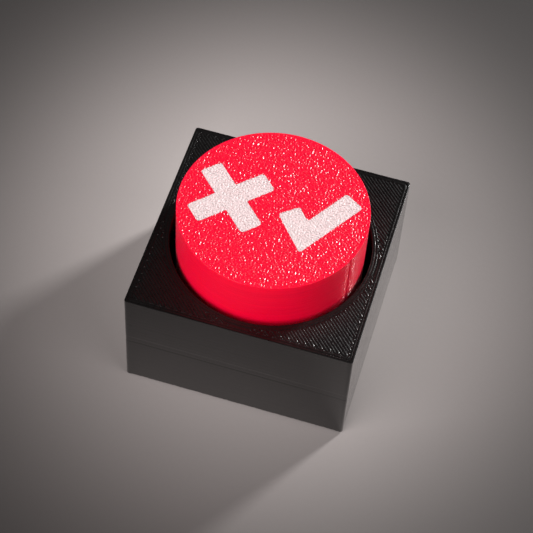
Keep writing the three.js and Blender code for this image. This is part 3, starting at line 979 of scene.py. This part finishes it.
# ---- cap and marks ----
def cap_angles(seam):
    """Columns round the cap, closer together where the seam runs."""
    column = 0.35 * MM
    near = [
        share * column / CAP_RADIUS
        for share in (-1.6, -1.1, -0.75, -0.45, -0.2, 0.0, 0.2, 0.45, 0.75, 1.1, 1.6)
    ]
    reach = near[-1]
    others = [angle for angle in even_angles(144) if reach < angle < 2 * math.pi - reach]
    return [seam + angle for angle in sorted([angle % (2 * math.pi) for angle in near] + others)]


def raise_seam(mesh, seam):
    """Lifts the line where each printed layer starts and ends, a little unevenly."""
    width = 0.24 * MM
    ridge, furrow = 0.004 * MM, 0.1 * MM
    furrow_at = 0.3 * MM
    for vert in mesh.vertices:
        radius = math.hypot(vert.co.x, vert.co.y)
        if radius < CAP_RADIUS * 0.9:
            continue
        level = round(vert.co.z / sizes().layer)
        drift = 0.1 * MM * noise.noise(Vector((level * 0.37, 4.2, 0.0)))
        away = (math.atan2(vert.co.y, vert.co.x) - seam) * radius - drift
        lift = math.exp(-(away / width) ** 2)
        dip = math.exp(-((away - furrow_at) / width) ** 2)
        factor = 1 + (ridge * lift - furrow * dip) / radius
        vert.co.x *= factor
        vert.co.y *= factor


def build_cap_blank():
    """The cap as a turned cup with layered outer wall, a stem boss and a crossed slot."""
    settings = sizes()
    margin = 0.004 * MM
    angles = cap_angles(settings.seam_angle)
    inner = CAP_RADIUS - CAP_WALL
    ceiling = CAP_HIGH.z - CAP_ROOF
    heights = layer_heights(CAP_LOW.z, CAP_HIGH.z + 0.2 * MM, rows=(0.0, 0.16, 0.84))
    outer = layered(
        "cap_cup", [circle(CAP_RADIUS - margin, z, angles) for z in heights], seed=31.0,
        groove=settings.cap_groove, waver=0.006 * MM,
    )
    raise_seam(outer, settings.seam_angle)
    hollow = turned("cap_hollow", [(inner, CAP_LOW.z - PAST), (inner, ceiling)], 96)
    boss = turned("cap_boss", [(BOSS_RADIUS, BOSS_BOTTOM), (BOSS_RADIUS, ceiling + 0.5 * MM)], 48)
    slots = [
        box_mesh("slot", (-x, -y, BOSS_BOTTOM - PAST), (x, y, SLOT_TOP))
        for x, y in (SLOT_HALVES, SLOT_HALVES[::-1])
    ]
    cup = boolean(outer, "DIFFERENCE", hollow)
    cup = boolean(cup, "UNION", boss)
    return boolean(cup, "DIFFERENCE", *slots)


class BUZZER_OT_cap(bpy.types.Operator):
    """Build the red cap and the two marks inlaid in its grainy top"""
    bl_idname = "buzzer.cap"
    bl_label = "Cap and marks"

    def execute(self, context):
        face = grain_block(
            1, 0.0, CAP_HIGH.z - 0.004 * MM, CAP_RADIUS + 0.5 * MM, seed=43.0, rim=CAP_RADIUS,
        )
        marks = {name: solid_copy(name, name) for name in ("legend_cross", "legend_tick")}
        cap = boolean(build_cap_blank(), "INTERSECT", face.copy())
        cap = boolean(cap, "DIFFERENCE", *(mark.copy() for mark in marks.values()))
        limit = CAP_HIGH.z - grain_depth_limit()
        face_radius = CAP_RADIUS - 0.1 * MM

        def finish_of(polygon):
            radius = math.hypot(polygon.center.x, polygon.center.y)
            return int(polygon.center.z > limit and radius < face_radius)

        paint(cap, "cap_side", "cap_face", choose=finish_of)
        piece("button_cap_print", cap, "cap_plastic", "button_cap", body="button", smooth=50)
        for name, mark in marks.items():
            inlay = boolean(mark, "INTERSECT", face.copy())
            piece(f"{name}_inlay", inlay, "legend_plastic", name, body="button", look="legend", smooth=50)
        return {"FINISHED"}


# ---- circuit board ----
PIN_HOLES = ((-3.8, 4.5), (2.54, 5.08))   # in millimetres
TRACKS = (                           # paths in millimetres and the width of each
    (((-8.1, -1.9), (-7.4, -1.9), (-7.4, -9.4), (-5.5, -11.0)), 0.3),
    (((-8.1, -0.6), (-6.9, -0.6), (-6.9, 3.2), (-3.8, 4.5)), 0.3),
    (((-8.1, 0.6), (-7.5, 1.4), (-7.5, 9.4), (-1.7, 11.2)), 0.3),
    (((-8.1, 1.9), (-8.1, 10.2), (-6.2, 12.4), (7.6, 12.4), (9.2, 11.0)), 0.4),
    (((-13.9, 1.9), (-13.6, 5.8), (-12.6, 7.2), (-9.6, 9.4)), 0.3),
    (((-13.9, -1.9), (-13.7, -4.0), (-13.2, -7.6), (-11.4, -8.4), (-11.3, -7.2)), 0.3),
    (((-3.5, -11.0), (3.5, -11.0)), 0.3),
    (((5.5, -11.0), (8.6, -9.6), (10.7, -7.4), (10.7, 2.0)), 0.5),
    (((1.7, 11.2), (4.6, 10.4), (9.6, 6.6), (12.6, 6.2), (12.6, -6.0)), 0.5),
    (((2.54, 5.08), (7.6, 8.4), (8.6, 8.4)), 0.3),
)


def solder_joints():
    """Cones of solder round the switch pins and a fillet at each end of the battery clip."""
    top = BOARD_LOW.z
    cone = [
        (radius * MM, top - drop * MM) for radius, drop in (
            (0.0, 1.05), (0.3, 0.95), (0.42, 0.6), (0.62, 0.3), (1.05, 0.05), (1.1, 0.0), (0.0, 0.0))
    ]
    joints = [turned("solder", cone, 24, (x * MM, y * MM)) for x, y in PIN_HOLES]
    low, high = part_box("battery_clip")
    end, across, drop = 0.4 * MM, 0.6 * MM, 0.06 * MM
    for y, side in ((low.y, -1), (high.y, 1)):
        edge = y - side * 0.35 * MM
        rings = [
            [(x, edge - across, top - drop), (x, edge + across, top - drop), (x, edge + across, top),
             (x, edge - across, top)]
            for x in (low.x + end, high.x - end)
        ]
        joints.append(bevelled(loft("fillet", rings), 0.025 * MM))
    return joined("solder_joints", joints)


class BUZZER_OT_board(bpy.types.Operator):
    """Build the circuit board, its tracks and its solder joints"""
    bl_idname = "buzzer.board"
    bl_label = "Circuit board"

    def execute(self, context):
        board = bevelled(solid_copy("circuit_board", "board"), 0.05 * MM, segments=1)
        piece("board_laminate", board, "board_laminate", "circuit_board", look="mask")
        runs = [
            grown(
                "run", "beads", source=path_mesh([[(x * MM, y * MM) for x, y in path]], BOARD_HIGH.z),
                width=width * MM, thickness=0.07 * MM, turn=0.4 * MM, step=0.2 * MM, waver=0.0, sides=8,
            )
            for path, width in TRACKS
        ]
        piece("board_tracks", joined("board_tracks", runs), "board_laminate", look="track")
        piece("solder_joints", solder_joints(), "cell_steel", look="solder")
        return {"FINISHED"}


# ---- parts on the board ----
LEAD_WIDTH = 0.4 * MM
LEAD_SHEET = 0.14 * MM


def gull_lead(x, side, y, z, height, reach):
    """One gull-wing lead: out of the body, down and along the board."""
    out = reach * 0.4
    slope = 0.12 * MM
    flat = z + LEAD_SHEET / 2
    centre = [
        Vector((x + side * along, y, up)) for along, up in (
            (-0.2 * MM, height), (out - slope, height), (out, height - slope),
            (out + 0.1 * MM, flat + slope), (out + 0.22 * MM, flat), (reach, flat))
    ]
    sideways = Vector((0.0, LEAD_WIDTH / 2, 0.0))
    rings = []
    for before, here, after in zip([centre[0], *centre], centre, [*centre[1:], centre[-1]]):
        direction = (after - before).normalized()
        normal = Vector((-direction.z, 0.0, direction.x)) * (LEAD_SHEET / 2)
        rings.append([
            here + normal + sideways, here + normal - sideways, here - normal - sideways,
            here - normal + sideways,
        ])
    return loft("lead", rings)


def chip_mesh(node, width, depth, rows, pitch, reach, marked=False):
    """A moulded body with drafted sides, a row of leads on each side and an index mark if marked."""
    middle = centre_of(node)
    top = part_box(node)[1].z
    z = BOARD_HIGH.z
    mid = z + (top - z) * 0.5
    draft = 0.08 * MM

    def ring(inset, height):
        x, y = width / 2 - inset, depth / 2 - inset
        corners = ((-1, -1), (1, -1), (1, 1), (-1, 1))
        return [(middle.x + across * x, middle.y + along * y, height) for across, along in corners]

    body = loft("chip_body", [ring(draft, z + 0.12 * MM), ring(0.0, mid), ring(draft, top)])
    body = bevelled(body, 0.05 * MM, angle=30)
    if marked:
        radius, inset = 0.28 * MM, 0.7 * MM
        place = (middle.x - width / 2 + inset, middle.y + depth / 2 - inset)
        mark = turned("index", [(radius, top - 0.06 * MM), (radius, top + 0.2 * MM)], 24, place)
        body = boolean(body, "DIFFERENCE", mark)
    leads = [
        gull_lead(
            middle.x + side * width / 2, side, middle.y + (i - (count - 1) / 2) * pitch, z, mid, reach)
        for side, count in zip((-1, 1), rows) for i in range(count)
    ]
    return joined_two(node, [body], "chip", leads, "tin")


def end_capped(node, look):
    """A chip part: a bevelled body with a wrapped metal cap at each end."""
    low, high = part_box(node)
    cap = 0.4 * MM
    inset = Vector((cap * 0.5, 0.05 * MM, 0.05 * MM))
    body = bevelled(box_mesh("body", low + inset, high - inset), 0.03 * MM)
    ends = [
        bevelled(box_mesh("cap", low, (low.x + cap, high.y, high.z)), 0.06 * MM, segments=3),
        bevelled(box_mesh("cap", (high.x - cap, low.y, low.z), high), 0.06 * MM, segments=3),
    ]
    return joined_two(node, [body], look, ends, "tin")


class BUZZER_OT_chips(bpy.types.Operator):
    """Build the controller, the transistor, the resistors and the capacitor"""
    bl_idname = "buzzer.chips"
    bl_label = "Chips"

    def execute(self, context):
        node = "controller_chip"
        mesh = chip_mesh(
            node, width=3.9 * MM, depth=4.9 * MM, rows=(4, 4), pitch=1.27 * MM, reach=1.0 * MM, marked=True,
        )
        piece("controller_package", mesh, "chip_plastic", node)
        node = "drive_transistor"
        mesh = chip_mesh(
            node, width=1.3 * MM, depth=2.9 * MM, rows=(2, 1), pitch=1.9 * MM, reach=0.6 * MM,
        )
        piece("transistor_package", mesh, "chip_plastic", node)
        for i in (1, 2):
            node = f"chip_resistor_{i}"
            piece(f"resistor_{i}", end_capped(node, "chip"), "chip_plastic", node)
        node = "chip_capacitor"
        piece("capacitor", end_capped(node, "ceramic"), "capacitor_ceramic", node)
        return {"FINISHED"}


# ---- coin cell and sounder ----
class BUZZER_OT_cell(bpy.types.Operator):
    """Build the coin cell and its two contacts"""
    bl_idname = "buzzer.cell"
    bl_label = "Coin cell"

    def execute(self, context):
        x = (CAN_LOW.x + CAN_HIGH.x) / 2
        radius = (CAN_HIGH.x - CAN_LOW.x) / 2
        low, high = CAN_LOW.z, CAN_HIGH.z
        sheet = 0.25 * MM
        can = [(0.0, low), (radius * 0.5, low), (radius - 0.5 * MM, low)]
        can += lower_round(radius, low, 0.3 * MM, steps=5, first=1)
        can += from_edge(radius, high, (
            (0, -0.35), (0.1, -0.1), (0.32, 0), (0.7, -0.02), (0.72, -0.25), (0.25, -0.35)))
        can += [(radius - sheet, low + sheet), (0.0, low + sheet)]
        mesh = turned("cell_can_shell", can, 128, (x, 0.0))
        piece("cell_can_shell", mesh, "cell_steel", "cell_can", look="nickel")

        radius = (LID_HIGH.x - LID_LOW.x) / 2
        top = LID_HIGH.z
        lid = [(radius - sheet, LID_LOW.z), (radius, LID_LOW.z)]
        lid += from_edge(radius, top, ((0, -0.4), (0.1, -0.15), (0.35, -0.03), (0.8, 0)))
        lid += [(0.0, top), (0.0, top - sheet)]
        lid += from_edge(radius, top, ((0.5, -0.25), (0.25, -0.5)))
        mesh = turned("cell_lid_shell", lid, 112, (x, 0.0), wrap=True)
        piece("cell_lid_shell", mesh, "cell_steel", "cell_lid", look="nickel")

        for node, look, slot in (
            ("cell_seal", "seal", "cell_filling"), ("cell_core", "seal", "cell_filling"),
            ("battery_clip", "nickel", "contact_steel"), ("negative_contact", "bronze", "contact_bronze"),
        ):
            refined(node, look, slot, 0.05 * MM)
        return {"FINISHED"}


class BUZZER_OT_sounder(bpy.types.Operator):
    """Build the sounder: case, diaphragm and ported lid"""
    bl_idname = "buzzer.sounder"
    bl_label = "Sounder"

    def execute(self, context):
        refined("sounder_case", "moulding", "switch_plastic", 0.12 * MM)
        refined("sounder_lid", "moulding", "switch_plastic", 0.1 * MM)
        refined("sounder_diaphragm", "bronze", "contact_bronze", 0.04 * MM)
        return {"FINISHED"}


# ---- key switch ----
class BUZZER_OT_switch(bpy.types.Operator):
    """Build the key switch: both housings, the stem, the contacts and the spring"""
    bl_idname = "buzzer.switch"
    bl_label = "Key switch"

    def execute(self, context):
        settings = sizes()
        refined("switch_lower_housing", "moulding", "switch_plastic", 0.12 * MM)
        refined("switch_upper_housing", "cover", "switch_cover_plastic", 0.15 * MM, segments=3)
        refined("switch_stem", "stem", "stem_plastic", 0.08 * MM, body="button")
        for node in ("fixed_contact", "moving_contact"):
            refined(node, "bronze", "contact_bronze", 0.03 * MM)
        low, high = SPRING_LOW.z, SPRING_HIGH.z
        mesh = grown(
            "switch_spring_coil", "coil", radius=(SPRING_HIGH.x - SPRING_LOW.x - settings.wire) / 2,
            wire=settings.wire, bottom=low, top=high - 0.02 * MM, turns=float(settings.turns), closed=1.0,
            material=finish("spring_steel"),
        )
        spring = piece("switch_spring_coil", mesh, "contact_steel", "switch_spring")
        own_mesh(spring)
        return {"FINISHED"}


# ---- stage ----
CAMERA = {
    "azimuth": 13.03, "elevation": 54.77, "roll": 4.34, "distance": 261.4 * MM,
    "aim": Vector((-0.24, -0.59, 13.15)) * MM, "view_angle": 16.835,
}
LIGHTS = (                           # name, azimuth, elevation, distance, size, power and tint
    ("key_light", 55, 27, 0.6, 0.09, 4.7, (1.0, 0.99, 0.98)),
    ("fill_light", -120, 31, 0.7, 0.7, 7.2, (1.0, 0.955, 0.945)),
    ("side_light", -20, 36, 0.7, 0.6, 2.2, (1.0, 0.965, 0.96)),
)
LIGHT_AIM = Vector((0.0, 0.0, 12 * MM))
WORLD_TINT, WORLD_POWER = (1.0, 0.99, 0.98, 1.0), 0.07
FLOOR_HALF = 3.0


def add_camera():
    data = bpy.data.cameras.new("studio_camera")
    data.sensor_width = 36.0
    data.angle = math.radians(CAMERA["view_angle"])
    data.clip_start = 0.01
    camera = new_object("studio_camera", data)
    tilt = math.radians(90 - CAMERA["elevation"])
    turn = math.radians(CAMERA["azimuth"])
    facing = Matrix.Rotation(turn, 4, "Z") @ Matrix.Rotation(tilt, 4, "X")
    rolled = facing @ Matrix.Rotation(math.radians(CAMERA["roll"]), 4, "Z")
    back = facing @ Vector((0.0, 0.0, CAMERA["distance"]))
    camera.matrix_world = Matrix.Translation(CAMERA["aim"] + back) @ rolled
    bpy.context.scene.camera = camera


def add_light(name, azimuth, elevation, distance, size, power, tint):
    """A soft light aimed at the buzzer; azimuth is counted from +X towards +Y."""
    data = bpy.data.lights.new(name, "AREA")
    data.energy = power
    data.color = tint
    data.shape = "DISK"
    data.size = size
    light = new_object(name, data)
    around, up = math.radians(azimuth), math.radians(elevation)
    direction = Vector((math.cos(around) * math.cos(up), math.sin(around) * math.cos(up), math.sin(up)))
    light.location = LIGHT_AIM + direction * distance
    light.rotation_euler = direction.to_track_quat("Z", "Y").to_euler()


def floor_with_painted_light_pool():
    """A studio floor whose colour carries a painted pool of light: palest in the middle and darker away
    from it, painted shade standing in for the light's falloff.
    """
    material, tree, shader = new_material("Studio paper")
    place = add(tree, "ShaderNodeTexCoord")
    # Middle and size of the painted pool of light on the floor.
    centred = add(tree, "ShaderNodeMapping", {
        "Vector": place["Object"], "Location": (-3.6 * MM, 10.9 * MM, 0.0),
        "Rotation": (0.0, 0.0, math.radians(16)), "Scale": (38.5 * MM, 43.6 * MM, 1.0),
    }, vector_type="TEXTURE")
    away = centred.vector("DOT_PRODUCT", centred)[1]
    bent = away * away.calc("MULTIPLY_ADD", 0.16, 1.0)
    # Painted shade: the floor's colour fades towards black away from that middle.
    painted_light_share = (bent * -1.0).calc("EXPONENT").calc("MULTIPLY_ADD", 0.95, 0.05)
    paper_and_painted_pool = mixed(tree, painted_light_share, (0.0, 0.0, 0.0, 1.0), (*colours().floor, 1.0))
    grain = noise_pattern(pattern_space(tree), 1.5)
    speckle = two_tone(grain, (0.985, 0.985, 0.985), (1.0, 1.0, 1.0))
    feed(tree, shader, {
        "Base Color": mixed(tree, 1.0, paper_and_painted_pool, speckle, "MULTIPLY"), "Roughness": 0.7,
        "Normal": bump_of(grain, 0.01 * MM), "Specular IOR Level": 0.3,
    })
    return material


class BUZZER_OT_stage(bpy.types.Operator):
    """Set the floor, the lights and the camera"""
    bl_idname = "buzzer.stage"
    bl_label = "Stage"

    def execute(self, context):
        bm = bmesh.new()
        bmesh.ops.create_grid(bm, x_segments=1, y_segments=1, size=FLOOR_HALF)
        floor = new_object("studio_floor", mesh_from(bm, "studio_floor"))
        floor.data.materials.append(floor_with_painted_light_pool())
        world = bpy.data.worlds.new("studio")
        world.use_nodes = True
        background = world.node_tree.nodes["Background"]
        feed(world.node_tree, background, {0: WORLD_TINT, 1: WORLD_POWER})
        context.scene.world = world
        context.scene.view_settings.view_transform = "Standard"
        for light in LIGHTS:
            add_light(*light)
        add_camera()
        return {"FINISHED"}


# ---- add-on ----
OPERATORS = (
    BUZZER_OT_stage, BUZZER_OT_housing, BUZZER_OT_base_plate, BUZZER_OT_screws, BUZZER_OT_pads,
    BUZZER_OT_cap, BUZZER_OT_board, BUZZER_OT_chips, BUZZER_OT_cell, BUZZER_OT_sounder, BUZZER_OT_switch,
)


class BUZZER_PT_panel(bpy.types.Panel):
    """The buzzer's sizes, colours and pieces"""
    bl_idname = "BUZZER_PT_panel"
    bl_label = "Quiz Buzzer"
    bl_space_type = "VIEW_3D"
    bl_region_type = "UI"
    bl_category = "Buzzer"

    def draw(self, context):
        for group in (context.scene.buzzer_sizes, context.scene.buzzer_colours):
            box = self.layout.box()
            for name in group.bl_rna.properties.keys():
                if name not in ("rna_type", "name"):
                    box.prop(group, name)
        for operator in OPERATORS:
            self.layout.operator(operator.bl_idname)


CLASSES = (BuzzerSizes, BuzzerColours, *OPERATORS, BUZZER_PT_panel)


def register():
    for cls in CLASSES:
        bpy.utils.register_class(cls)
    bpy.types.Scene.buzzer_sizes = PointerProperty(type=BuzzerSizes)
    bpy.types.Scene.buzzer_colours = PointerProperty(type=BuzzerColours)


def unregister():
    del bpy.types.Scene.buzzer_colours
    del bpy.types.Scene.buzzer_sizes
    for cls in reversed(CLASSES):
        bpy.utils.unregister_class(cls)


def main():
    register()
    TREES.update(
        grain=grain_tree(), layers=layer_tree(), beads=bead_tree(), copies=copies_tree(),
        thread=thread_tree(), coil=coil_tree(),
    )
    for operator in OPERATORS:
        group, name = operator.bl_idname.split(".")
        getattr(getattr(bpy.ops, group), name)()


if __name__ == "__main__":
    main()
